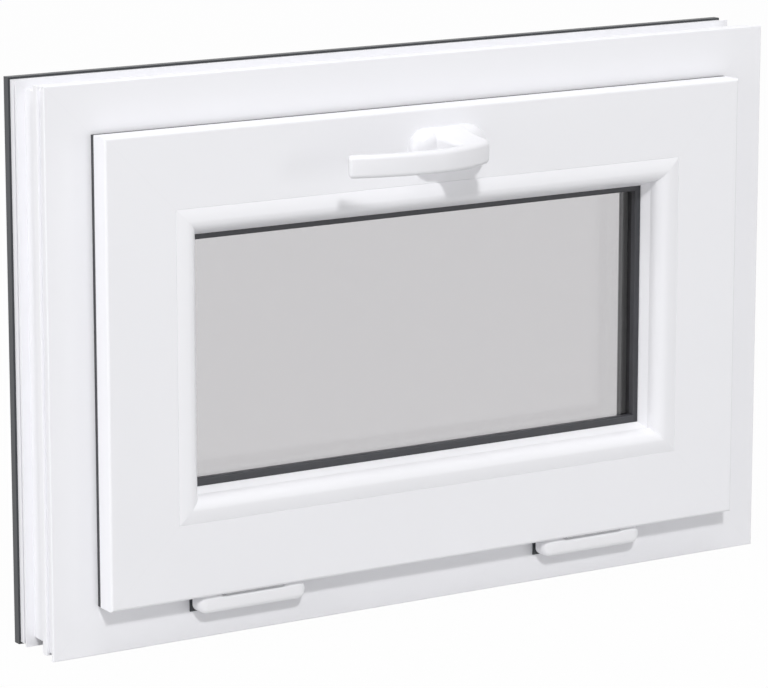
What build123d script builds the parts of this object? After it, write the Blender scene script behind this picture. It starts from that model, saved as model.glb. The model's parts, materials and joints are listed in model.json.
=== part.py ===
from build123d import *
import os

# Bottom-hung attic window, 600 x 400 mm, seen from the room along +Y.
# Profiles are drawn as (u, d): u is the distance inward from the frame's outer edge, the same
# on all four sides, and d is the depth from the frame's room face towards the weather side.
# Origin: middle of the outer cover's lower edge, X to the right, Y to the weather side, Z up.

# Overall sizes
frame_width = 600
frame_height = 400
frame_depth = 60
cover_thickness = 1.6  # dark outer covers of frame and sash

# Frame profile
room_face_reach = 43  # u where the room face ends, behind the sash
drain_step = 3  # fall of the rebate floor towards the weather side
lip_reach = 65  # u of the outer lip's free edge
lip_depth = 43.5  # d of the lip's rebate side
edge_flange = 3  # thickness of the room-side flange at the outer edge
clip_groove = 3.5  # depth of the clip grooves in the outer edge
anchor_groove = (19, 41.7, 7)  # from d, to d, depth of the wide groove for wall anchors
cover_edge = 7.2  # depth of the outer cover on the outer edge
frame_wall = 2.8
inner_web = 1.5

# Sash profile
sash_edge = 35  # u of the sash's visible outer edge
sash_face = -20  # d of the sash's room face
flange_back = -3.5  # d of the overlap flange's back
hardware_face = 55  # u of the face that carries the hardware groove
hardware_groove = (9, 21, 64)  # from d, to d, floor u
sash_back = 40  # d of the sash's outer face
glazing_floor = 89  # u where the room face ends and the bead begins
glass_lip = 106  # u of the dark outer glazing lip
glass_lip_depth = 31  # d of the lip's glass side

# Glazing bead: a low rise to the crest, an elliptical fall to the wall, the wall to the tip
bead_joint_depth = -20  # d of the bead's edge at the joint with the sash
bead_crest = (98, -21)
bead_wall_top = (107, -10)
bead_tip = (110.5, -3)
bead_back = -1  # d of the bead's foot on the seal

# Glass unit and its seals
pane_edge = 95
pane_thickness = 4
inner_pane_front = 3
pane_gap = 16
spacer_reach = 104.5  # u of the spacer's visible face
gasket_reach = 114.7
gasket_lip = -2.2

# Hinges, two of them under the sash's lower edge
hinge_places = {"left": -149, "right": 141}
hinge_length = 87
hinge_low = 21
hinge_high = 34.8
hinge_slot = (49, 1.3)  # length and depth of the slot in the cap's top edge
hinge_front = -18.5
leaf_thickness = 4
hinge_axis = (-10.5, 27.3)  # d and height of the pin
pin_radius = 2
knuckle_radius = 3.6
fork_knuckle = 9  # length of each of the frame leaf's knuckles
sash_leaf_length = 48
cap_wall = 1.8
cap_end_corner = 6  # rounding of the cap's ends in the front view
cap_plan_corner = 6  # and in plan
cap_low_edge = 6  # rounding of its lower front edge
cap_top_edge = 4
leaf_margin = 2.5  # the leaf's plate ends this far inside the cap

# Handle
handle_x = 7.5
handle_z = 336
rosette_size = (64, 33.5)
rosette_front = -31
rosette_corner = 15
rosette_end_rounding = 10  # of the front towards the two ends, seen in plan
rosette_edge_rounding = 8  # and towards the top and bottom edges, seen from the side
lever_height = 16
lever_thickness = 9.5
lever_rounding = 3
lever_end_chamfer = 0.8
lever_tip = (-97.5, -56)  # X and d of the bow's middle line at the tip
lever_apex = (-33.5, -69.2)  # where the bow stands out furthest
lever_heel = (18, -50.9)
neck_foot_size = (25, 27)  # where the neck meets the rosette
neck_head_span = (0.45, 0.94)  # where its plan ends inside the lever, as shares of the heel arc
neck_head = (-62, 9.6)  # d and height of its side view there
neck_edge = 4  # rounding of its four long edges
journal_radius = 8.3
journal_depth = 8
spindle_square = 7
spindle_in_neck = 14
spindle_reach = 24  # from the rosette's front into the sash
spindle_hole_radius = 5  # in the sash's room wall

# Drain caps on the sill's outer face
drain_cap_places = {"left": -170, "right": 170}
drain_cap_size = (42, 11, 4.5)
drain_cap_height = 24
drain_cap_wall = 1.5
drain_cap_corner = 2.5
drain_cap_bevel = 1.2

origin_depth = frame_depth - cover_edge / 2  # d at Y = 0
half_width = frame_width / 2

# Each side's bar starts at a frame corner; u points inward and the bar runs along z_dir
side_planes = {
    "head": (Plane((-half_width, -origin_depth, frame_height), (0, 0, -1), (1, 0, 0)), frame_width),
    "sill": (Plane((half_width, -origin_depth, 0), (0, 0, 1), (-1, 0, 0)), frame_width),
    "left": (Plane((-half_width, -origin_depth, 0), (1, 0, 0), (0, 0, 1)), frame_height),
    "right": (Plane((half_width, -origin_depth, frame_height), (-1, 0, 0), (0, 0, -1)), frame_height),
}
frame_names = {"head": "head", "sill": "sill", "left": "jamb_left", "right": "jamb_right"}
sash_names = {"head": "top_rail", "sill": "bottom_rail", "left": "left_stile", "right": "right_stile"}
strip_names = {"head": "top", "sill": "bottom", "left": "left", "right": "right"}

os.makedirs("parts", exist_ok=True)


def box_profile(u_low, u_high, d_low, d_high):
    # four corners of a rectangular chamber or strip
    return [(u_low, d_low), (u_high, d_low), (u_high, d_high), (u_low, d_high)]


def round_corners(section, radii):
    # rounds the corner nearest to each point of a section drawn as (u, d)
    for point, radius in radii.items():
        fillet(section.vertices().sort_by_distance(point)[0], radius)


def cut_chambers(chambers):
    # cuts the closed hollows out of the section in work
    for chamber in chambers:
        Polygon(*chamber, align=None, mode=Mode.SUBTRACT)


def mitred_bar(profile, side):
    # a profile run along one side and cut at 45 degrees through both frame corners
    plane, length = side_planes[side]
    with BuildSketch(plane) as section:
        add(profile.sketch)
    bar = extrude(section.sketch, amount=length, mode=Mode.PRIVATE)
    along = plane.z_dir
    inward = plane.x_dir
    first_cut = Plane(plane.origin, z_dir=along - inward)
    last_cut = Plane(plane.origin + along * length, z_dir=-along - inward)
    bar = split(bar, bisect_by=first_cut, keep=Keep.TOP, mode=Mode.PRIVATE)
    bar = split(bar, bisect_by=last_cut, keep=Keep.TOP, mode=Mode.PRIVATE)
    add(bar)


def at_depth(d):
    return d - origin_depth


def room_plane(d):
    # plane at depth d that faces the room
    return Plane.XZ.offset(-at_depth(d))


# Frame profile: flange, two clip grooves with their ribs and the land under the outer cover,
# then the outer lip and the rebate floor
groove_start, groove_end, groove_depth = anchor_groove
lip_corner = (lip_reach - cover_thickness, 50)
lip_slant = (lip_reach - cover_thickness - 3.8, frame_depth - cover_thickness)
rib_edge = 1.4
land_rib_edge = 0.5

with BuildSketch() as frame_profile:
    with BuildLine():
        Polyline(
            (0, 0),
            (room_face_reach, 0),
            (room_face_reach, 24),
            (room_face_reach - drain_step, 26),
            (room_face_reach - drain_step, lip_depth),
            (lip_reach - cover_thickness, lip_depth),
            lip_corner,
            lip_slant,
            (cover_thickness, frame_depth - cover_thickness),
            (cover_thickness, 47.5),
            (clip_groove, 47.5),
            (clip_groove, lip_depth),
            (land_rib_edge, lip_depth),
            (land_rib_edge, groove_end),
            (groove_depth, groove_end),
            (groove_depth, groove_start),
            (rib_edge, groove_start),
            (rib_edge, 13),
            (clip_groove, 13),
            (clip_groove, edge_flange),
            (0, edge_flange),
            close=True,
        )
    make_face()
    round_corners(
        frame_profile,
        {(0, 0): 0.8, (0, edge_flange): 0.6, (rib_edge, 13): 0.5, (rib_edge, groove_start): 0.5},
    )
    floor_wall = room_face_reach - drain_step - frame_wall
    cut_chambers(
        [
            box_profile(clip_groove + frame_wall, room_face_reach - frame_wall, frame_wall, 10.2),
            box_profile(groove_depth + frame_wall, room_face_reach - frame_wall, 10.2 + inner_web, 22),
            box_profile(groove_depth + frame_wall, floor_wall, 22 + inner_web, 34),
            box_profile(groove_depth + frame_wall, floor_wall, 34 + inner_web, 44.8),
            box_profile(clip_groove + frame_wall, 57.5, 44.8 + inner_web, 55.6),
        ]
    )

with BuildSketch() as frame_cover_profile:
    with BuildLine():
        Polyline(
            (0, frame_depth - cover_edge),
            (0, frame_depth),
            (lip_reach - 4.4, frame_depth),
            (lip_reach, 50.4),
            (lip_reach, 47),
            (lip_reach - cover_thickness, 47),
            lip_corner,
            lip_slant,
            (cover_thickness, frame_depth - cover_thickness),
            (cover_thickness, frame_depth - cover_edge),
            close=True,
        )
    make_face()
    round_corners(frame_cover_profile, {(0, frame_depth): 1, (lip_reach - 4.4, frame_depth): 1.5})

for side, name in frame_names.items():
    with BuildPart() as frame_bar:
        mitred_bar(frame_profile, side)
    frame_bar.part.label = f"frame_{name}"
    export_step(frame_bar.part, f"parts/frame_{name}.step")

    with BuildPart() as frame_cover:
        mitred_bar(frame_cover_profile, side)
    frame_cover.part.label = f"frame_{name}_cover"
    export_step(frame_cover.part, f"parts/frame_{name}_cover.step")

# Sash profile: overlap flange, hardware groove, outer face and glazing rebate
slot_start, slot_end, slot_floor = hardware_groove
sash_inner_back = sash_back - cover_thickness
glass_lip_body = glass_lip - cover_thickness
sash_wall_end = glazing_floor - frame_wall

with BuildSketch() as sash_profile:
    with BuildLine():
        Polyline(
            (sash_edge, sash_face),
            (glazing_floor, sash_face),
            (glazing_floor, glass_lip_depth),
            (glass_lip_body, glass_lip_depth),
            (glass_lip_body, 33),
            (glass_lip_body - 3.2, sash_inner_back),
            (hardware_face + cover_thickness, sash_inner_back),
            (hardware_face + cover_thickness, 34),
            (hardware_face, 34),
            (hardware_face, slot_end),
            (slot_floor, slot_end),
            (slot_floor, slot_start),
            (hardware_face, slot_start),
            (hardware_face, flange_back),
            (sash_edge, flange_back),
            close=True,
        )
    make_face()
    round_corners(
        sash_profile,
        {(sash_edge, sash_face): 2, (glazing_floor, sash_face): 0.4, (sash_edge, flange_back): 0.6},
    )
    cut_chambers(
        [
            box_profile(sash_edge + frame_wall, 52, sash_face + frame_wall, flange_back - frame_wall),
            box_profile(53.5, sash_wall_end, sash_face + frame_wall, flange_back - frame_wall),
            box_profile(
                hardware_face + frame_wall,
                sash_wall_end,
                flange_back - frame_wall + inner_web,
                slot_start - frame_wall,
            ),
            box_profile(slot_floor + frame_wall, sash_wall_end, slot_start - 1.3, slot_end + inner_web),
            box_profile(59, sash_wall_end, slot_end + 2 * inner_web, sash_inner_back - frame_wall),
        ]
    )

with BuildSketch() as sash_cover_profile:
    with BuildLine():
        Polyline(
            (hardware_face, 34),
            (hardware_face, sash_back),
            (glass_lip - 4, sash_back),
            (glass_lip, 33.4),
            (glass_lip, glass_lip_depth),
            (glass_lip_body, glass_lip_depth),
            (glass_lip_body, 33),
            (glass_lip_body - 3.2, sash_inner_back),
            (hardware_face + cover_thickness, sash_inner_back),
            (hardware_face + cover_thickness, 34),
            close=True,
        )
    make_face()
    round_corners(sash_cover_profile, {(hardware_face, sash_back): 1, (glass_lip - 4, sash_back): 1})

crest_u, crest_d = bead_crest
wall_u, wall_d = bead_wall_top
bead_joint = (glazing_floor, bead_joint_depth)

with BuildSketch() as bead_profile:
    with BuildLine():
        TangentArc(bead_crest, bead_joint, tangent=(-1, 0))
        EllipticalCenterArc(
            center=(crest_u, wall_d),
            x_radius=wall_u - crest_u,
            y_radius=wall_d - crest_d,
            start_angle=-90,
            arc_size=90,
        )
        Polyline(
            bead_wall_top,
            bead_tip,
            (bead_tip[0], bead_back),
            (glazing_floor, bead_back),
            bead_joint,
        )
    make_face()
    round_corners(bead_profile, {bead_joint: 0.3, bead_tip: 0.7})
    cut_chambers([[(91.2, -16.6), (101.5, -16.6), (104.6, -10), (107.2, -3.4), (91.2, -3.4)]])

for side, name in sash_names.items():
    with BuildPart() as sash_bar:
        mitred_bar(sash_profile, side)
        if side == "head":
            with BuildSketch(room_plane(sash_face)):
                with Locations((handle_x, handle_z)):
                    Circle(spindle_hole_radius)
            extrude(amount=-frame_wall, mode=Mode.SUBTRACT)
    sash_bar.part.label = f"sash_{name}"
    export_step(sash_bar.part, f"parts/sash_{name}.step")

    with BuildPart() as sash_cover:
        mitred_bar(sash_cover_profile, side)
    sash_cover.part.label = f"sash_{name}_cover"
    export_step(sash_cover.part, f"parts/sash_{name}_cover.step")

    with BuildPart() as bead:
        mitred_bar(bead_profile, side)
    bead.part.label = f"glazing_bead_{strip_names[side]}"
    export_step(bead.part, f"parts/glazing_bead_{strip_names[side]}.step")

# Glass unit: two panes
inner_pane_back = inner_pane_front + pane_thickness
outer_pane_front = inner_pane_back + pane_gap
outer_pane_back = outer_pane_front + pane_thickness

for name, front in {"inner_pane": inner_pane_front, "outer_pane": outer_pane_front}.items():
    with BuildPart() as pane:
        with BuildSketch(room_plane(front)):
            with Locations((0, frame_height / 2)):
                Rectangle(frame_width - 2 * pane_edge, frame_height - 2 * pane_edge)
        extrude(amount=-pane_thickness)
        chamfer(pane.edges().filter_by(Axis.Y), 0.6)
    pane.part.label = name
    export_step(pane.part, f"parts/{name}.step")

# Rings of one profile: spacer bar and the four seals
ring_profiles = {
    "spacer_bar": box_profile(pane_edge + 0.5, spacer_reach, inner_pane_back, outer_pane_front),
    "inner_glazing_gasket": [
        (100, bead_back),
        (bead_tip[0], bead_back),
        (bead_tip[0], gasket_lip),
        (gasket_reach, gasket_lip),
        (gasket_reach, inner_pane_front),
        (100, inner_pane_front),
    ],
    "outer_glazing_gasket": [
        (pane_edge + 1, outer_pane_back),
        (107.6, outer_pane_back),
        (106.6, glass_lip_depth),
        (pane_edge + 1, glass_lip_depth),
    ],
    "sash_overlap_gasket": box_profile(sash_edge + 0.6, 41, flange_back, 0),
    "frame_rebate_gasket": box_profile(58.2, 62.4, sash_back, lip_depth),
}

for name, outline in ring_profiles.items():
    with BuildSketch() as ring_profile:
        with BuildLine():
            Polyline(*outline, close=True)
        make_face()
        if name == "inner_glazing_gasket":
            round_corners(ring_profile, {(gasket_reach, gasket_lip): 1.6})
    with BuildPart() as ring:
        for side in side_planes:
            mitred_bar(ring_profile, side)
    ring.part.label = name
    export_step(ring.part, f"parts/{name}.step")

# Hinges: a leaf on the frame with two knuckles, the pin, the sash's leaf between them with its
# foot under the sash, and the cover cap over all
hinge_middle = (hinge_low + hinge_high) / 2
hinge_height = hinge_high - hinge_low
axis_depth, axis_height = hinge_axis
axis_place = (at_depth(axis_depth), axis_height)
leaf_plane = room_plane(-leaf_thickness)
cap_depth = -hinge_front - leaf_thickness
foot_thickness = 1.4
web_thickness = 2.6
slot_length, slot_depth = hinge_slot

for side, hinge_x in hinge_places.items():
    with BuildPart() as frame_leaf:
        with BuildSketch(leaf_plane):
            with Locations((hinge_x, hinge_middle)):
                plate = Rectangle(hinge_length - 2 * leaf_margin, hinge_height - leaf_margin)
            chamfer(plate.vertices(), 1.5)
        extrude(amount=-leaf_thickness)
        for end in (-1, 1):
            knuckle_x = hinge_x + end * (sash_leaf_length + fork_knuckle + 1) / 2
            knuckle_start = Plane.YZ.offset(knuckle_x - fork_knuckle / 2)
            with BuildSketch(knuckle_start):
                with Locations(axis_place):
                    Circle(knuckle_radius)
                with Locations((at_depth((axis_depth - leaf_thickness) / 2), axis_height)):
                    Rectangle(-axis_depth - leaf_thickness, 2 * knuckle_radius - 1.6)
            extrude(amount=fork_knuckle)
            with BuildSketch(knuckle_start):
                with Locations(axis_place):
                    Circle(pin_radius)
            extrude(amount=fork_knuckle, mode=Mode.SUBTRACT)
    frame_leaf.part.label = f"hinge_{side}_frame_leaf"
    export_step(frame_leaf.part, f"parts/hinge_{side}_frame_leaf.step")

    with BuildPart() as pin:
        pin_length = sash_leaf_length + 2 * fork_knuckle + 2
        with BuildSketch(Plane.YZ.offset(hinge_x - pin_length / 2)):
            with Locations(axis_place):
                Circle(pin_radius)
        extrude(amount=pin_length)
    pin.part.label = f"hinge_{side}_pin"
    export_step(pin.part, f"parts/hinge_{side}_pin.step")

    with BuildPart() as sash_leaf:
        leaf_start = Plane.YZ.offset(hinge_x - sash_leaf_length / 2)
        with BuildSketch(leaf_start):
            with Locations(axis_place):
                Circle(knuckle_radius)
            with Locations((at_depth(axis_depth), (axis_height + sash_edge) / 2)):
                Rectangle(web_thickness, sash_edge - axis_height)
            with Locations((at_depth(axis_depth), sash_edge - foot_thickness / 2)):
                Rectangle(12, foot_thickness)
        extrude(amount=sash_leaf_length)
        with BuildSketch(leaf_start):
            with Locations(axis_place):
                Circle(pin_radius)
        extrude(amount=sash_leaf_length, mode=Mode.SUBTRACT)
    sash_leaf.part.label = f"hinge_{side}_sash_leaf"
    export_step(sash_leaf.part, f"parts/hinge_{side}_sash_leaf.step")

    # the cap is what its front view, its plan and its side view have in common, hollowed from behind
    with BuildPart() as cap:
        with BuildSketch(leaf_plane):
            with Locations((hinge_x, hinge_middle)):
                RectangleRounded(hinge_length, hinge_height, cap_end_corner)
        extrude(amount=cap_depth)
        with BuildSketch(Plane.XY.offset(hinge_low)):
            with Locations((hinge_x, at_depth(hinge_front / 2))):
                plan = Rectangle(hinge_length, -hinge_front)
            fillet(plan.vertices().group_by(Axis.Y)[0], cap_plan_corner)
        extrude(amount=hinge_height, mode=Mode.INTERSECT)
        with BuildSketch(Plane.YZ.offset(hinge_x - hinge_length / 2)):
            with Locations((at_depth(hinge_front / 2), hinge_middle)):
                side_view = Rectangle(-hinge_front, hinge_height)
            lower_corner, upper_corner = side_view.vertices().group_by(Axis.X)[0].sort_by(Axis.Y)
            fillet(lower_corner, cap_low_edge)
            fillet(upper_corner, cap_top_edge)
        extrude(amount=hinge_length, mode=Mode.INTERSECT)
        with BuildSketch(leaf_plane):
            with Locations((hinge_x, hinge_middle - slot_depth / 2)):
                hollow = Rectangle(hinge_length - 2 * cap_wall, hinge_height - 2 * cap_wall - slot_depth)
            chamfer(hollow.vertices(), 3)
        extrude(amount=cap_depth - 2 * cap_wall, mode=Mode.SUBTRACT)
        with BuildSketch(Plane.XY.offset(hinge_middle)):
            with Locations((hinge_x, at_depth(axis_depth))):
                Rectangle(slot_length, 2 * web_thickness)
        extrude(amount=hinge_height, mode=Mode.SUBTRACT)
        with BuildSketch(Plane.XY.offset(hinge_high - slot_depth)):
            with Locations((hinge_x, at_depth(hinge_front / 2))):
                Rectangle(slot_length, -hinge_front)
        extrude(amount=slot_depth, mode=Mode.SUBTRACT)
    cap.part.label = f"hinge_{side}_cover"
    export_step(cap.part, f"parts/hinge_{side}_cover.step")

# Handle: rosette, square spindle and the bowed lever, closed and pointing left
rosette_depth = sash_face - rosette_front

# the rosette is a pillow: what its front view, its plan and its side view have in common
with BuildPart() as rosette:
    with BuildSketch(room_plane(sash_face)):
        with Locations((handle_x, handle_z)):
            RectangleRounded(*rosette_size, rosette_corner)
    extrude(amount=rosette_depth)
    with BuildSketch(Plane.XY.offset(handle_z - rosette_size[1] / 2)):
        with Locations((handle_x, at_depth(sash_face - rosette_depth / 2))):
            plan = Rectangle(rosette_size[0], rosette_depth)
        fillet(plan.vertices().group_by(Axis.Y)[0], rosette_end_rounding)
    extrude(amount=rosette_size[1], mode=Mode.INTERSECT)
    with BuildSketch(Plane.YZ.offset(handle_x - rosette_size[0] / 2)):
        with Locations((at_depth(sash_face - rosette_depth / 2), handle_z)):
            side_view = Rectangle(rosette_depth, rosette_size[1])
        fillet(side_view.vertices().group_by(Axis.X)[0], rosette_edge_rounding)
    extrude(amount=rosette_size[0], mode=Mode.INTERSECT)
    with BuildSketch(room_plane(sash_face)):
        with Locations((handle_x, handle_z)):
            Circle(journal_radius)
    extrude(amount=rosette_depth, mode=Mode.SUBTRACT)
rosette.part.label = "handle_rosette"
export_step(rosette.part, "parts/handle_rosette.step")

# The lever is a rounded bar carried along a bow of two arcs that meet at its apex
neck_plane = room_plane(rosette_front)
neck_place = (handle_x, handle_z)
tip, apex, heel = [(x, at_depth(d), handle_z) for x, d in (lever_tip, lever_apex, lever_heel)]
with BuildLine():
    tip_arc = TangentArc(apex, tip, tangent=(-1, 0, 0))
    heel_arc = TangentArc(apex, heel, tangent=(1, 0, 0))

# The neck flares from the lever's heel to the rosette: its plan, cut to its side view
foot_width, foot_height = neck_foot_size
head_depth, head_height = neck_head

with BuildPart() as neck:
    with BuildSketch(Plane.XY.offset(handle_z - foot_height / 2)):
        with BuildLine():
            Polyline(
                (handle_x - foot_width / 2, at_depth(rosette_front)),
                (handle_x + foot_width / 2, at_depth(rosette_front)),
                *[((heel_arc @ share).X, (heel_arc @ share).Y) for share in reversed(neck_head_span)],
                close=True,
            )
        make_face()
    extrude(amount=foot_height)
    with BuildSketch(Plane.YZ.offset(handle_x - foot_width)):
        with BuildLine():
            Polyline(
                (at_depth(rosette_front), handle_z - foot_height / 2),
                (at_depth(rosette_front), handle_z + foot_height / 2),
                (at_depth(head_depth), handle_z + head_height / 2),
                (at_depth(head_depth), handle_z - head_height / 2),
                close=True,
            )
        make_face()
    extrude(amount=2 * foot_width, mode=Mode.INTERSECT)
    fillet(neck.edges().filter_by(lambda edge: abs((edge % 0.5).Y) > 0.8), neck_edge)

with BuildPart() as lever:
    with BuildSketch(Plane(apex, x_dir=(0, 0, 1), z_dir=(1, 0, 0)), mode=Mode.PRIVATE) as bow:
        RectangleRounded(lever_height, lever_thickness, lever_rounding)
    for arc in (tip_arc, heel_arc):
        sweep(bow.sketch, path=arc)
    ends = lever.faces().filter_by(GeomType.PLANE).filter_by(Axis.Z, reverse=True).sort_by(Axis.X)
    chamfer(ends[0].edges() + ends[-1].edges(), lever_end_chamfer)
    add(neck.part)
    with BuildSketch(neck_plane):
        with Locations(neck_place):
            Circle(journal_radius - 0.1)
    extrude(amount=-journal_depth)
    with BuildSketch(neck_plane):
        with Locations(neck_place):
            Rectangle(spindle_square, spindle_square)
    extrude(amount=spindle_in_neck, mode=Mode.SUBTRACT)
    with BuildSketch(neck_plane):
        with Locations(neck_place):
            Rectangle(spindle_square, spindle_square)
    extrude(amount=-journal_depth, mode=Mode.SUBTRACT)
lever.part.label = "handle_lever"
export_step(lever.part, "parts/handle_lever.step")

with BuildPart() as spindle:
    with BuildSketch(neck_plane.offset(spindle_in_neck)):
        with Locations(neck_place):
            Rectangle(spindle_square, spindle_square)
    extrude(amount=-spindle_in_neck - spindle_reach)
spindle.part.label = "handle_spindle"
export_step(spindle.part, "parts/handle_spindle.step")

# Drain caps: hoods over the drain slots of the sill
cap_width, cap_height, cap_stand = drain_cap_size
for side, cap_x in drain_cap_places.items():
    with BuildPart() as drain_cap:
        with BuildSketch(room_plane(frame_depth)):
            with Locations((cap_x, drain_cap_height)):
                RectangleRounded(cap_width, cap_height, drain_cap_corner)
        extrude(amount=-cap_stand)
        chamfer(drain_cap.faces().sort_by(Axis.Y)[-1].edges(), drain_cap_bevel)
        with BuildSketch(room_plane(frame_depth)):
            with Locations((cap_x, drain_cap_height - 2)):
                Rectangle(cap_width - 4 * drain_cap_wall, cap_height)
        extrude(amount=-cap_stand + drain_cap_wall, mode=Mode.SUBTRACT)
    drain_cap.part.label = f"drain_cap_{side}"
    export_step(drain_cap.part, f"parts/drain_cap_{side}.step")
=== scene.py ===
import bpy
import json
import math
import numpy as np
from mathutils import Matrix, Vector


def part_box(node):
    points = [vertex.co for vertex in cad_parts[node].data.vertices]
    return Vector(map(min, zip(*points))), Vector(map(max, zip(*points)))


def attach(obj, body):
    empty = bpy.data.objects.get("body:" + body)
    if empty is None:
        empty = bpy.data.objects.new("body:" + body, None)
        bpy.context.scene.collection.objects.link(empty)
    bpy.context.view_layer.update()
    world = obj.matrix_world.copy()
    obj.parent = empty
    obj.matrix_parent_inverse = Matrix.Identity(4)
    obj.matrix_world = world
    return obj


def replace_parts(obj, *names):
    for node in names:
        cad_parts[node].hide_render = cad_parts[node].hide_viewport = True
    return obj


# Attic window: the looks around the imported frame, seen from the room along +Y, with X to the right
# and Z up. Lengths are in metres, apart from the lever's, which are in mm.

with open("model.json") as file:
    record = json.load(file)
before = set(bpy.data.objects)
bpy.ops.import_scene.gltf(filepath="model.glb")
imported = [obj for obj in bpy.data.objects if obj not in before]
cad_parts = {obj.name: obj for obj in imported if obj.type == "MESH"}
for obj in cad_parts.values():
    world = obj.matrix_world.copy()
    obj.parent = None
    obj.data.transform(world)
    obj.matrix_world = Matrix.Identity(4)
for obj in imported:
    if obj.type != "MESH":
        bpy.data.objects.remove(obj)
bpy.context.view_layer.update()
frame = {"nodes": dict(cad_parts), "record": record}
mm = 0.001
sillLow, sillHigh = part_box("frame_sill_cover")
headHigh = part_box("frame_head_cover")[1]
windowLeft, windowRight = sillLow.x, sillHigh.x
windowBottom, windowTop = sillLow.z, headHigh.z
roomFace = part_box("frame_sill")[0].y  # room side of the frame
middleX = (windowLeft + windowRight) / 2
middleZ = (windowBottom + windowTop) / 2
print("frame loaded: %d nodes" % len(frame["nodes"]))


# Shader maths

class Socket:
    # One output in a node tree. Arithmetic on it adds Math nodes.

    def __init__(self, tree, link):
        self.tree = tree
        self.link = link

    def __add__(self, other):
        return self.tree.maths("ADD", self, other)

    def __radd__(self, other):
        return self.tree.maths("ADD", other, self)

    def __sub__(self, other):
        return self.tree.maths("SUBTRACT", self, other)

    def __rsub__(self, other):
        return self.tree.maths("SUBTRACT", other, self)

    def __mul__(self, other):
        return self.tree.maths("MULTIPLY", self, other)

    def __rmul__(self, other):
        return self.tree.maths("MULTIPLY", other, self)

    def __truediv__(self, other):
        return self.tree.maths("DIVIDE", self, other)

    def __rtruediv__(self, other):
        return self.tree.maths("DIVIDE", other, self)

    def __lt__(self, other):
        return self.tree.maths("LESS_THAN", self, other)

    def __gt__(self, other):
        return self.tree.maths("GREATER_THAN", self, other)

    def __abs__(self):
        return self.tree.maths("ABSOLUTE", self)


class Tree:
    # The node tree of a material or of the world

    def __init__(self, nodeTree):
        self.nodes = nodeTree.nodes
        self.links = nodeTree.links

    def put(self, target, value):
        # links a socket or sets its value; a colour may come without its alpha
        if isinstance(value, Socket):
            self.links.new(value.link, target)
        elif target.type == "RGBA" and len(value) == 3:
            target.default_value = (*value, 1)
        else:
            target.default_value = value

    def node(self, kind, settings=None, values=None, output=0):
        # any node: its settings come first, then the values or links of its sockets
        made = self.nodes.new(kind)
        for key, setting in (settings or {}).items():
            setattr(made, key, setting)
        for key, value in (values or {}).items():
            self.put(made.inputs[key], value)
        return Socket(self, made.outputs[output])

    def several(self, kind, outputs, values=None):
        # several outputs of one node
        made = self.node(kind, None, values).link.node
        return [Socket(self, made.outputs[output]) for output in outputs]

    def maths(self, operation, *values):
        return self.node("ShaderNodeMath", {"operation": operation}, dict(enumerate(values)))


class Finish(Tree):
    # A material and its main shader

    def __init__(self, name):
        self.material = bpy.data.materials.new(name)
        self.material.use_nodes = True
        super().__init__(self.material.node_tree)
        self.shader = self.nodes["Principled BSDF"]
        self.out = self.nodes["Material Output"]

    def coordinates(self):
        # object coordinates, in metres
        return self.node("ShaderNodeTexCoord", output="Object")

    def axes(self):
        return self.several("ShaderNodeSeparateXYZ", "XYZ", {0: self.coordinates()})

    def noise(self, size, detail=2, stretch=(1, 1, 1), roughness=0.5):
        # noise with features about size metres across, longer along an axis with a small stretch
        scale = tuple(s / size for s in stretch)
        place = self.node("ShaderNodeMapping", None, {"Vector": self.coordinates(), "Scale": scale})
        return self.node("ShaderNodeTexNoise", None,
                         {"Vector": place, "Scale": 1, "Detail": detail, "Roughness": roughness})

    def mix(self, share, first, second):
        # 6 and 7 are the Mix node's colour inputs, 2 is its colour output
        return self.node("ShaderNodeMix", {"data_type": "RGBA"}, {0: share, 6: first, 7: second}, 2)

    def drift(self, noise, finish):
        # the finish's colour, from its darker to its lighter share as the noise goes from 0 to 1
        dark, light = ([c * share for c in finish["color"]] for share in finish["drift"])
        return self.mix(noise, dark, light)

    def bump(self, height, depth):
        # depth is the real height in metres of a step from 0 to 1
        return self.node("ShaderNodeBump", None, {"Height": height, "Distance": depth})

    def set(self, **values):
        # values by socket name, with spaces left out
        byName = {s.name.replace(" ", ""): s for s in self.shader.inputs}
        for key, value in values.items():
            self.put(byName[key], value)
        return self.material

    def mixShader(self, share, other):
        # the surface is the main shader where share is 0 and the other one where it is 1
        main = Socket(self, self.shader.outputs[0])
        both = self.node("ShaderNodeMixShader", None, {0: share, 1: main, 2: other})
        self.put(self.out.inputs["Surface"], both)
        return self.material


def around(level, noise, swing):
    # a level that the noise moves up and down by half the swing
    return level + (noise - 0.5) * swing


# Surfaces

sharpAngle = math.radians(35)
leastFlat = 0.2 * mm  # what a rounded section keeps flat on each side


def outward(points, faces):
    # turns every face round where the signed volume, the sum of a . (b x c) / 6 over fans of
    # triangles, comes out negative
    fans = np.array([(face[0], face[k], face[k + 1]) for face in faces for k in range(1, len(face) - 1)])
    a, b, c = points[fans].transpose(1, 0, 2)
    return faces if np.sum(a * np.cross(b, c)) > 0 else [face[::-1] for face in faces]


def loopFaces(rows, columns, ring):
    # quads between neighbouring loops of a grid whose columns run round and close
    row, column = np.meshgrid(np.arange(rows if ring else rows - 1), np.arange(columns), indexing="ij")
    nextRow = (row + 1) % rows
    nextColumn = (column + 1) % columns
    quads = np.stack([row * columns + column, row * columns + nextColumn,
                      nextRow * columns + nextColumn, nextRow * columns + column], -1)
    return quads.reshape(-1, 4).tolist()


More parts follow.
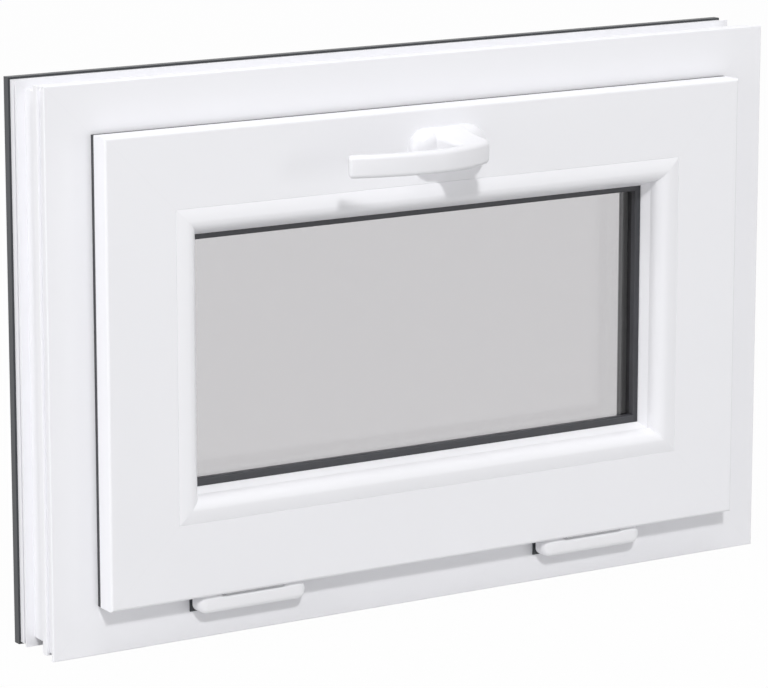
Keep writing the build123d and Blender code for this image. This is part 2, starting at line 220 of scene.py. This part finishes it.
def makePiece(name, points, slotName, ring=False):
    # a skin over a grid of points whose columns run round. Its rows close to a ring, or the first
    # and the last row end in one polygon each.
    rows, columns = points.shape[:2]
    faces = loopFaces(rows, columns, ring)
    if not ring:
        faces += [list(range(columns))[::-1], list(range((rows - 1) * columns, rows * columns))]
    points = points.reshape(-1, 3)
    mesh = bpy.data.meshes.new(name)
    mesh.from_pydata(points.tolist(), [], outward(points, faces))
    mesh.validate()
    mesh.materials.append(finishes[slotName])
    mesh.polygons.foreach_set("use_smooth", np.ones(len(mesh.polygons), bool))
    mesh.set_sharp_from_angle(angle=sharpAngle)
    piece = bpy.data.objects.new(name, mesh)
    bpy.context.scene.collection.objects.link(piece)
    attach(piece, "root")
    return piece


def grid(x, y, z):
    # one grid of points from coordinates that may each be a grid, a row, a column or a number
    return np.stack(np.broadcast_arrays(x, y, z), -1)


def roundedLoop(halfWide, halfHigh, radius, columns):
    # x = (a - r) sgn(cos t) + r cos t and y = (b - r) sgn(sin t) + r sin t, with t at the middle of
    # each step so that no point falls on a side's middle
    t = (np.arange(columns) + 0.5) * 2 * math.pi / columns
    x = (halfWide - radius) * np.sign(np.cos(t)) + radius * np.cos(t)
    y = (halfHigh - radius) * np.sign(np.sin(t)) + radius * np.sin(t)
    return x, y


def arc(centerX, centerY, radius, start, end, count):
    # (x + r cos t, y + r sin t) with t from start to end in degrees, for one circle or a column
    t = np.radians(np.linspace(start, end, count))
    return np.stack((centerX + radius * np.cos(t), centerY + radius * np.sin(t)), -1)


def alongPath(corners, count):
    # count points evenly spaced by length along a polyline in plan
    reach = np.concatenate(([0], np.cumsum(np.linalg.norm(np.diff(corners, axis=0), axis=1))))
    at = np.linspace(0, reach[-1], count)
    return np.stack([np.interp(at, reach, values) for values in corners.T], -1)


def cornerRing(low, high, ways, y):
    # a section at each of four mitred corners. ways says how far in its points lie from the left,
    # right, bottom and top edge of the rectangle from low to high, and y how deep.
    left, right, bottom, top = low.x + ways[0], high.x - ways[1], low.z + ways[2], high.z - ways[3]
    return grid(np.stack((left, right, right, left)), y, np.stack((bottom, bottom, top, top)))


# Materials

def mitreSeam(f, seamWidth):
    # 1 on the mitres, where the ways in from two neighbouring edges of the window are less than a
    # seam's width apart
    x, _, z = f.axes()
    fromSide = windowRight - middleX - abs(x - middleX)
    fromEnd = (windowTop - windowBottom) / 2 - abs(z - middleZ)
    return abs(fromSide - fromEnd) < seamWidth


whiteProfileFinish = {"color": (0.9, 0.9, 0.93), "drift": (0.985, 1.012), "cloudSize": 0.12,
                      "roughness": 0.36, "cloudGloss": 0.08, "dieLineGloss": 0.05, "ior": 1.5,
                      "dieLineDepth": 0.004 * mm, "dieLineWidth": 0.35 * mm, "dieLineStretch": 0.004,
                      "peelSize": 1.8 * mm, "peelDepth": 0.006 * mm, "seamWidth": 0.24 * mm,
                      "seamDepth": 0.006 * mm, "seamTint": 0.05, "seamColor": (0.5, 0.5, 0.51)}


def makeWhiteProfile(name, along):
    # Extruded uPVC: colour and gloss drift slowly, die lines run along the bar, and the welded
    # mitre is a hairline.
    s = whiteProfileFinish
    f = Finish(name)
    seam = mitreSeam(f, s["seamWidth"])
    stretch = [s["dieLineStretch"] if axis == along else 1 for axis in "xyz"]
    lines = f.noise(s["dieLineWidth"], detail=1, stretch=stretch)
    peel = f.noise(s["peelSize"])
    cloud = f.noise(s["cloudSize"])
    height = lines * (s["dieLineDepth"] / s["peelDepth"]) + peel - seam * (s["seamDepth"] / s["peelDepth"])
    return f.set(BaseColor=f.mix(seam * s["seamTint"], f.drift(cloud, s), s["seamColor"]),
                 Roughness=around(around(s["roughness"], cloud, s["cloudGloss"]), lines, s["dieLineGloss"]),
                 IOR=s["ior"], Normal=f.bump(height, s["peelDepth"]))


darkCoverFinish = {"color": (0.036, 0.039, 0.044), "drift": (0.86, 1.16), "cloudSize": 0.08,
                   "roughness": 0.42, "cloudGloss": 0.1, "ior": 1.48, "grainSize": 0.45 * mm,
                   "grainDepth": 0.02 * mm, "grainShare": 0.6, "grainRoughness": 0.6,
                   "seamWidth": 0.28 * mm, "seamTint": 0.8, "seamColor": (0.01, 0.01, 0.011),
                   "seamGrains": 3}


def makeDarkCover():
    # Fine-textured powder coat on the outer covers: a small cell grain, slow drift of gloss, and a
    # hairline open mitre at the corners, a few grains deep.
    s = darkCoverFinish
    f = Finish("darkCover")
    seam = mitreSeam(f, s["seamWidth"])
    grain = f.noise(s["grainSize"], detail=3, roughness=s["grainRoughness"])
    cloud = f.noise(s["cloudSize"])
    tint = f.drift(grain * s["grainShare"] + cloud * (1 - s["grainShare"]), s)
    return f.set(BaseColor=f.mix(seam * s["seamTint"], tint, s["seamColor"]),
                 Roughness=around(s["roughness"], cloud, s["cloudGloss"]), IOR=s["ior"],
                 Normal=f.bump(grain - seam * s["seamGrains"], s["grainDepth"]))


glassFinish = {"tint": (0.762, 0.755, 0.764), "ior": 1.5, "dustSize": 0.05, "dustRoughness": 0.6,
               "dust": 0.012}


def makeGlass():
    # Float glass, lightly grey: clear to shadow rays, with a trace of uneven gloss.
    s = glassFinish
    f = Finish("paneGlass")
    dust = f.noise(s["dustSize"], detail=4, roughness=s["dustRoughness"])
    f.set(BaseColor=s["tint"], Roughness=dust * s["dust"], IOR=s["ior"], TransmissionWeight=1.0)
    clear = f.node("ShaderNodeBsdfTransparent", None, {"Color": [math.sqrt(t) for t in s["tint"]]})
    return f.mixShader(f.node("ShaderNodeLightPath", output="Is Shadow Ray"), clear)


spacerFinish = {"color": (0.022, 0.022, 0.025), "roughness": 0.5, "fineGloss": 0.1, "fineSize": 1.2 * mm,
                "fineDepth": 0.03 * mm, "dotPitch": 5 * mm, "dotRadius": 0.6 * mm, "rowOut": 4 * mm,
                "dotColor": (0.008, 0.008, 0.009), "dotDepth": 2, "pitchesBefore": 100}


def makeSpacer():
    # Dark warm-edge spacer: two rows of small breathing holes along its face, as darker dots. Each
    # dot is at the middle of a pitch, and pitchesBefore keeps the count of pitches above zero.
    s = spacerFinish
    f = Finish("spacerBlack")
    x, y, z = f.axes()
    pitch = s["dotPitch"]
    low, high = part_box("spacer_bar")
    rowY = abs(abs(y - (low.y + high.y) / 2) - s["rowOut"])
    alongX, alongZ = (abs(f.maths("FRACT", way / pitch + s["pitchesBefore"]) - 0.5) * pitch
                      for way in (x, z))
    dotsX, dotsZ = (way * way + rowY * rowY < s["dotRadius"] ** 2 for way in (alongX, alongZ))
    dots = f.maths("MAXIMUM", dotsX, dotsZ)
    fine = f.noise(s["fineSize"])
    return f.set(BaseColor=f.mix(dots, s["color"], s["dotColor"]),
                 Roughness=around(s["roughness"], fine, s["fineGloss"]),
                 Normal=f.bump(fine - dots * s["dotDepth"], s["fineDepth"]))


zincFinish = {"color": (0.42, 0.42, 0.44), "drift": (0.8, 1.2), "metallic": 0.9, "roughness": 0.38,
              "brushSize": 0.4 * mm, "brushStretch": 0.05, "brushGloss": 0.2, "brushDepth": 0.006 * mm,
              "blotchSize": 6 * mm, "blotchGloss": 0.1}


def makeZinc():
    # Zinc-plated steel: brushed along X, with darker blotches where the plating is dull.
    s = zincFinish
    f = Finish("zincSteel")
    brush = f.noise(s["brushSize"], stretch=(s["brushStretch"], 1, 1))
    blotch = f.noise(s["blotchSize"], detail=3)
    return f.set(BaseColor=f.drift(blotch, s), Metallic=s["metallic"],
                 Roughness=around(around(s["roughness"], brush, s["brushGloss"]), blotch, s["blotchGloss"]),
                 Normal=f.bump(brush, s["brushDepth"]))


gasketFinish = {"color": (0.034, 0.035, 0.041), "drift": (0.82, 1.3), "cloudSize": 0.03,
                "cloudDetail": 3, "roughness": 0.48, "cloudGloss": 0.14, "ior": 1.52,
                "fineSize": 0.5 * mm, "fineDepth": 0.012 * mm}
handleFinish = {"color": (0.845, 0.845, 0.875), "drift": (0.985, 1.01), "cloudSize": 0.05,
                "cloudDetail": 2, "roughness": 0.3, "cloudGloss": 0.08, "ior": 1.5,
                "fineSize": 1.3 * mm, "fineDepth": 0.008 * mm, "coat": 0.15, "coatRoughness": 0.2}
capFinish = {"color": (0.9, 0.9, 0.925), "drift": (0.985, 1.01), "cloudSize": 0.04, "cloudDetail": 2,
             "roughness": 0.34, "cloudGloss": 0.08, "ior": 1.5, "fineSize": 0.5 * mm,
             "fineDepth": 0.006 * mm}
# this dark colour also paints shade: the plates at the hinge covers' left ends use it in place of the deep
# contact shade there
darkPlasticAndShadeFinish = {"color": (0.05, 0.054, 0.062), "drift": (0.85, 1.2), "cloudSize": 0.02,
                     "cloudDetail": 2, "roughness": 0.5, "cloudGloss": 0.1, "ior": 1.5,
                     "fineSize": 0.6 * mm, "fineDepth": 0.015 * mm}


def makeMoulded(name, s):
    # A fine moulded or cast surface over which colour and gloss drift in slow clouds: the bloom on
    # the seals, the orange peel of the handle, the spark-eroded texture of the caps. A powder coat
    # adds a thin clear gloss.
    f = Finish(name)
    cloud = f.noise(s["cloudSize"], detail=s["cloudDetail"])
    f.set(BaseColor=f.drift(cloud, s), Roughness=around(s["roughness"], cloud, s["cloudGloss"]),
          IOR=s["ior"], Normal=f.bump(f.noise(s["fineSize"]), s["fineDepth"]))
    if "coat" in s:
        f.set(CoatWeight=s["coat"], CoatRoughness=s["coatRoughness"])
    return f.material


whiteAlongX = makeWhiteProfile("whiteProfileAlongX", "x")
whiteAlongZ = makeWhiteProfile("whiteProfileAlongZ", "z")
finishes = {"dark_cover": makeDarkCover(), "gasket": makeMoulded("sealRubber", gasketFinish),
            "glass": makeGlass(), "spacer": makeSpacer(),
            "handle_white": makeMoulded("handleWhite", handleFinish),
            "hinge_cover": makeMoulded("capWhite", capFinish), "hinge_metal": makeZinc(),
            "steel": makeZinc(), "dark_plastic": makeMoulded("darkPlasticAndShade", darkPlasticAndShadeFinish)}

for part in frame["record"]["subparts"]:
    node, slotName = part["node"], part["material_slot"]
    upright = any(word in node for word in ("jamb", "stile", "bead_left", "bead_right"))
    shown = frame["nodes"][node]
    shown.data.materials.clear()
    shown.data.materials.append(finishes.get(slotName, whiteAlongZ if upright else whiteAlongX))
print("materials on %d nodes" % len(frame["nodes"]))


# Handle

rosetteLow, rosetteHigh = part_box("handle_rosette")
sashFace = rosetteHigh.y
rosetteX = (rosetteLow.x + rosetteHigh.x) / 2
handleZ = (rosetteLow.z + rosetteHigh.z) / 2
rosetteForm = {"halfWide": (rosetteHigh.x - rosetteLow.x) / 2,
               "halfHigh": (rosetteHigh.z - rosetteLow.z) / 2 - 0.2 * mm, "drop": 1.2 * mm,
               "corner": 15 * mm, "frontCorner": 5 * mm, "front": sashFace - rosetteLow.y,
               "insetX": 13 * mm, "insetZ": 9 * mm, "frontRings": (0.8, 0.5, 0.2), "columns": 96,
               "rows": 22}


def makeRosette():
    # A pillow: from the sash the wall turns over a quarter ellipse, inset = i (1 - cos t) and
    # rise = h sin t, to the front, which closes in rings to its middle.
    s = rosetteForm
    t = np.linspace(0, math.pi / 2, s["rows"])[:, None]
    share = 1 - np.cos(t)
    wide, high = s["halfWide"] - s["insetX"] * share, s["halfHigh"] - s["insetZ"] * share
    corner = np.minimum(s["corner"] - (s["corner"] - s["frontCorner"]) * share, high - leastFlat)
    x, z = roundedLoop(wide, high, corner, s["columns"])
    rise = s["front"] * np.sin(t)
    shrink = np.array(s["frontRings"])[:, None]
    x, z = (np.vstack((values, values[-1] * shrink)) for values in (x, z))
    rise = np.vstack((rise, rise[-1] + 0 * shrink))
    points = grid(rosetteX + x, sashFace - rise, handleZ - s["drop"] + z)
    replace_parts(makePiece("rosetteBody", points, "handle_white"), "handle_rosette")


# The lever in mm: its plan is (x, d), with x from the window's middle and d from the room face. The
# bow is two arcs that meet at the apex, the heel is the bend at its right end, and the neck runs
# back from there to its foot in the rosette.
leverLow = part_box("handle_lever")[0]
tipInset = 1.2  # how far right of the CAD lever's left end the bow's tip starts
leverForm = {"apex": (-33.5, -74.0), "tipX": (leverLow.x - middleX) / mm + tipInset, "tipRadius": 165,
             "heelX": 22.5, "heelRadius": 88, "heelCut": 3.4, "heelBend": 3.2, "heelBack": 2.2,
             "heelFrom": -50, "turnX": -12, "tipThick": 8.5, "neckThick": 10, "fillet": 10,
             "neckLeft": -4, "neckRight": 18, "neckEnd": -25, "flareLeft": 9, "flareRight": 4,
             "swell": 0.45, "halfHigh": 8, "footHalfHigh": 15.6, "edge": 3.2, "footEdge": 7,
             "tipEdge": 0.5, "endRound": 2.6, "columns": 56, "barRows": 46, "turnRows": 44,
             "capRows": 9, "bowPoints": 24, "heelPoints": 9, "filletPoints": 12}


def bowPoint(x):
    # the bow's front line in plan, d = apex + r (1 - cos t) with sin t = (x - apex) / r, and its way
    # inwards there, (-sin t, cos t)
    s = leverForm
    apexX, apexD = s["apex"]
    radius = np.where(x < apexX, s["tipRadius"], s["heelRadius"])
    turn = np.arcsin((x - apexX) / radius)
    front = np.stack((x, apexD + radius * (1 - np.cos(turn))), -1)
    return front, np.stack((-np.sin(turn), np.cos(turn)), -1)


def makeLever():
    # One skin between a front and a back rail in plan: along the bow, round the heel and down the
    # neck to the rosette. Each section is a rounded rectangle that stands on its pair of rail points.
    s = leverForm
    x = np.linspace(s["tipX"] + s["endRound"], s["turnX"], s["barRows"])
    share = ((x - s["tipX"]) / (s["heelX"] - s["tipX"]))[:, None]
    front, inward = bowPoint(x)
    back = front + inward * (s["tipThick"] + (s["neckThick"] - s["tipThick"]) * share)

    # the front rail goes round the heel and down the neck's right side, the back rail through the
    # hollow between bar and neck and down its left side
    bow = bowPoint(np.linspace(s["turnX"], s["heelX"] - s["heelCut"], s["bowPoints"]))[0]
    heelD = bowPoint(s["heelX"])[0][1]
    heel = arc(s["heelX"] - s["heelBend"], heelD + s["heelBack"], s["heelBend"], s["heelFrom"], 0,
               s["heelPoints"])
    fillet = arc(s["neckLeft"] - s["fillet"], back[-1, 1] + s["fillet"], s["fillet"], -90, 0,
                 s["filletPoints"])
    outer = alongPath(np.vstack((bow, heel, (s["neckRight"], s["neckEnd"]))), s["turnRows"])[1:]
    inner = alongPath(np.vstack((back[-1], fillet, (s["neckLeft"], s["neckEnd"]))), s["turnRows"])[1:]

    # towards its foot the neck swells in height and flares sideways by flare share^3
    middle = (outer + inner)[:, 1:] / 2
    share = np.clip((middle - heelD) / (s["neckEnd"] - heelD), 0, 1)
    outer[:, :1] += s["flareRight"] * share ** 3
    inner[:, :1] -= s["flareLeft"] * share ** 3
    swell = share * (s["swell"] + (1 - s["swell"]) * share)
    half = s["halfHigh"] + (s["footHalfHigh"] - s["halfHigh"]) * swell
    edge = s["edge"] + (s["footEdge"] - s["edge"]) * share

    # the tip closes over a quarter round: the section draws in by r (1 - cos t) and steps out by
    # r sin t
    t = np.linspace(math.pi / 2, 0, s["capRows"] + 1)[:-1, None]
    drawn, step = s["endRound"] * (1 - np.cos(t)), s["endRound"] * np.sin(t)
    inward = (back[0] - front[0]) / np.linalg.norm(back[0] - front[0])
    ahead = np.array((-inward[1], inward[0]))
    bar = np.ones((s["barRows"], 1))
    half = np.vstack((s["halfHigh"] - drawn, s["halfHigh"] * bar, half))
    edge = np.vstack((np.maximum(s["edge"] - drawn, s["tipEdge"]), s["edge"] * bar, edge))
    front, back = (np.vstack((front[0] + inward * drawn + ahead * step, front, outer)),
                   np.vstack((back[0] - inward * drawn + ahead * step, back, inner)))

    wide = np.linalg.norm(front - back, axis=1, keepdims=True) / 2
    across, up = roundedLoop(wide, half, np.minimum(edge, wide - leastFlat / mm), s["columns"])
    way, middle = (front - back) / (2 * wide), (front + back) / 2
    plan = middle[:, None] + way[:, None] * across[..., None]
    points = grid(middleX + plan[..., 0] * mm, roomFace + plan[..., 1] * mm, handleZ + up * mm)
    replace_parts(makePiece("leverBody", points, "handle_white"), "handle_lever")


makeRosette()
makeLever()
print("handle made")


# Hinge covers: soft bars with round ends, notched at the top where the sash leaf comes through

coverForm = {"endRound": 7 * mm, "endDrop": 5.4 * mm, "endDraw": 5 * mm, "lowEdge": 4 * mm,
             "topEdge": 3.6 * mm, "slotHalf": 24.5 * mm, "slotDepth": 1.3 * mm, "slotRamp": 2 * mm,
             "wall": 1.4 * mm, "endRows": 16, "edgePoints": 12}


def coverSection(halfHigh, depth, notch):
    # (rise, z) from the back's lower corner over a quarter round, up the front and over another one
    # to the back's upper corner, for a column of sections
    s = coverForm
    lowRound, topRound = (np.minimum(np.minimum(s[key], depth - leastFlat), halfHigh)
                          for key in ("lowEdge", "topEdge"))
    top = halfHigh - notch
    return np.concatenate((np.stack((0 * top, -halfHigh), -1),
                           arc(depth - lowRound, lowRound - halfHigh, lowRound, -90, 0, s["edgePoints"]),
                           arc(depth - topRound, top - topRound, topRound, 0, 90, s["edgePoints"]),
                           np.stack((0 * top, top), -1)), 1)


def makeCover(side):
    # Each end closes over a quarter round t: the section's half height draws in by
    # endDrop (1 - cos t) and its depth by endDraw (1 - cos t), while x steps out by endRound sin t.
    s = coverForm
    node = "hinge_%s_cover" % side
    low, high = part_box(node)
    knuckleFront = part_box("hinge_%s_frame_leaf" % side)[0].y
    halfLong, halfHigh = (high.x - low.x) / 2, (high.z - low.z) / 2
    depth = high.y - max(low.y, knuckleFront - s["wall"])
    t = np.linspace(math.pi / 2, 0, s["endRows"])
    share = 1 - np.cos(t)
    end = np.stack((halfLong - s["endRound"] * (1 - np.sin(t)), halfHigh - s["endDrop"] * share,
                    depth - s["endDraw"] * share, 0 * t), -1)
    notched = ((s["slotHalf"] + s["slotRamp"], halfHigh, depth, 0),
               (s["slotHalf"], halfHigh, depth, s["slotDepth"]))
    rightHalf = np.vstack((end, notched))
    rows = np.vstack((rightHalf * (-1, 1, 1, 1), rightHalf[::-1]))
    x, half, reach, notch = np.hsplit(rows, 4)
    section = coverSection(half, reach, notch)
    middle = (low + high) / 2
    points = grid(middle.x + x, high.y - section[..., 0], middle.z + section[..., 1])
    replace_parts(makePiece("cover" + side.title(), points, "hinge_cover"), node)
    print("%s cover %.1f mm deep of %.1f" % (side, depth / mm, (high.y - low.y) / mm))


shadePadForm = {"reach": 0.2 * mm, "lap": 7 * mm, "thick": 1.2 * mm, "high": 14.5 * mm}


def makeShadePad(side):
    # painted shade: a dark plate that stands in for the deep contact shade showing past the cover's left
    # end, flat on the frame's face below the sash: two loops round its outline, one at the frame's face and
    # one in front of it
    s = shadePadForm
    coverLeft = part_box("hinge_%s_cover" % side)[0].x
    left, right = coverLeft - s["reach"], coverLeft + s["lap"]
    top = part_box("sash_bottom_rail")[0].z
    bottom = top - s["high"]
    depths = np.array((roomFace, roomFace - s["thick"]))[:, None]
    points = grid((left, right, right, left), depths, (bottom, bottom, top, top))
    makePiece("pad" + side.title(), points, "dark_plastic")


# Lip of the overlap seal: a thin dark line round the sash, just inside the edge of its flange

lipForm = {"inset": 0.15 * mm, "width": 1.6 * mm}


def makeSealLip():
    # a rectangular section carried round four mitred corners
    s = lipForm
    sealLow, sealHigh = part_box("sash_overlap_gasket")
    sashLow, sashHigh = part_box("sash_bottom_rail")[0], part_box("sash_top_rail")[1]
    way = s["inset"] + np.array((0, 0, s["width"], s["width"]))
    points = cornerRing(sashLow, sashHigh, [way] * 4, (sealLow.y, sealHigh.y, sealHigh.y, sealLow.y))
    makePiece("sealLip", points, "gasket", ring=True)


# Glazing seal: the lip between bead and glass, each reach measured in from the window's outer edge

sealForm = {"reachLeft": 113 * mm, "reachRight": 114.7 * mm, "reachBottom": 116 * mm,
            "reachTop": 114.7 * mm, "round": 1.6 * mm, "tuck": 0.2 * mm, "nosePoints": 7}


def makeGlazingSeal():
    # the section starts under the bead's tip and ends in a quarter round: drawn = r (1 - sin t)
    # back from the reach and sunk = r (1 - cos t) behind the front
    s = sealForm
    sealLow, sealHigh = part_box("inner_glazing_gasket")
    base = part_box("glazing_bead_left")[1].x - windowLeft - s["tuck"]
    t = np.linspace(0, math.pi / 2, s["nosePoints"])
    drawn, sunk = s["round"] * (1 - np.sin(t)), s["round"] * (1 - np.cos(t))
    ways = [np.concatenate(((base, base), s["reach" + edge] - drawn, (s["reach" + edge],)))
            for edge in ("Left", "Right", "Bottom", "Top")]
    y = np.concatenate(((sealHigh.y, sealLow.y), sealLow.y + sunk, (sealHigh.y,)))
    piece = makePiece("glazingSeal", cornerRing(sillLow, headHigh, ways, y), "gasket", ring=True)
    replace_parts(piece, "inner_glazing_gasket")


for hingeSide in ("left", "right"):
    makeCover(hingeSide)
    makeShadePad(hingeSide)
makeSealLip()
makeGlazingSeal()
print("hinge covers, pads and seals made")


# Stage: pale floor, white surroundings, key light from the upper left of the room and soft fills

stage = {"floorSize": 14, "whiteShare": 0.975, "worldLight": 0.345}
floorFinish = {"color": (0.6, 0.6, 0.6), "drift": (0.99, 1), "cloudSize": 0.05, "roughness": 0.9}
# each lamp: azimuth from the room's normal (left is negative) and elevation in degrees, distance and
# disk size in metres, power in watts, and whether it leaves out the sill's pieces or lights only them
lamps = {"key": (-21, 46, 9.0, 0.9, 354, "EXCLUDE"),
         "sillKey": (-21, 36, 9.0, 0.9, 313, "INCLUDE"),
         "frontFill": (35, 6, 5.0, 1.4, 14, None),
         "topFill": (0, 88, 5.0, 4.0, 84, None),
         "leftFill": (-90, 10, 5.0, 4.0, 105, None)}
# the sill and what is on it take the lower key light, everything else the higher one
sillPieces = ("frame_sill", "coverLeft", "coverRight", "padLeft", "padRight")


def seenDirectly(tree):
    # 1 for rays that come straight from the eye, a mirror reflection or through glass
    camera, glossy, through = tree.several(
        "ShaderNodeLightPath", ("Is Camera Ray", "Is Glossy Ray", "Is Transmission Ray"))
    return tree.maths("MAXIMUM", camera, tree.maths("MAXIMUM", glossy, through))


def makeFloor():
    s = floorFinish
    f = Finish("paleFloor")
    f.set(BaseColor=f.drift(f.noise(s["cloudSize"], detail=3), s), Roughness=s["roughness"])
    glow = f.node("ShaderNodeEmission", None, {"Color": (1, 1, 1), "Strength": 1.0})
    f.mixShader(seenDirectly(f) * stage["whiteShare"], glow)
    half = stage["floorSize"] / 2
    corners = [(-half, -half, 0), (half, -half, 0), (half, half, 0), (-half, half, 0)]
    mesh = bpy.data.meshes.new("floor")
    mesh.from_pydata(corners, [], [(0, 1, 2, 3)])
    mesh.materials.append(f.material)
    floor = bpy.data.objects.new("floor", mesh)
    floor.location.z = windowBottom
    bpy.context.scene.collection.objects.link(floor)


def makeWorld():
    world = bpy.data.worlds.new("studio")
    bpy.context.scene.world = world
    world.use_nodes = True
    tree = Tree(world.node_tree)
    back = tree.nodes["Background"]
    tree.put(back.inputs["Color"], (1, 1, 1))
    strength = seenDirectly(tree) * (1 - stage["worldLight"]) + stage["worldLight"]
    tree.put(back.inputs["Strength"], strength)


def makeLamp(name):
    azimuth, elevation, distance, size, power, sillState = lamps[name]
    data = bpy.data.lights.new(name, "AREA")
    data.shape = "DISK"
    data.size = size
    data.energy = power
    lamp = bpy.data.objects.new(name, data)
    a, e = math.radians(azimuth), math.radians(elevation)
    way = Vector((math.sin(a) * math.cos(e), -math.cos(a) * math.cos(e), math.sin(e)))
    lamp.location = Vector((middleX, roomFace, middleZ)) + way * distance
    lamp.rotation_euler = way.to_track_quat("Z", "Y").to_euler()
    bpy.context.scene.collection.objects.link(lamp)
    if sillState:
        group = bpy.data.collections.new(name + "Group")
        for piece in sillPieces:
            group.objects.link(frame["nodes"].get(piece) or bpy.data.objects[piece])
        for member in group.collection_objects:
            member.light_linking.link_state = sillState
        lamp.light_linking.receiver_collection = group


view = {"place": (-1.4840, -2.3874, 0.7800), "yaw": 31.92, "pitch": 12.04, "lens": 184.4,
        "near": 0.05, "far": 60}


def makeCamera():
    data = bpy.data.cameras.new("photoView")
    data.lens = view["lens"]
    data.clip_start, data.clip_end = view["near"], view["far"]
    camera = bpy.data.objects.new("photoView", data)
    camera.location = view["place"]
    camera.rotation_euler = (math.radians(90 - view["pitch"]), 0, math.radians(-view["yaw"]))
    bpy.context.scene.collection.objects.link(camera)
    bpy.context.scene.camera = camera


makeFloor()
makeWorld()
for lampName in lamps:
    makeLamp(lampName)
makeCamera()
bpy.context.scene.view_settings.view_transform = "Standard"
print("stage, light and camera set")
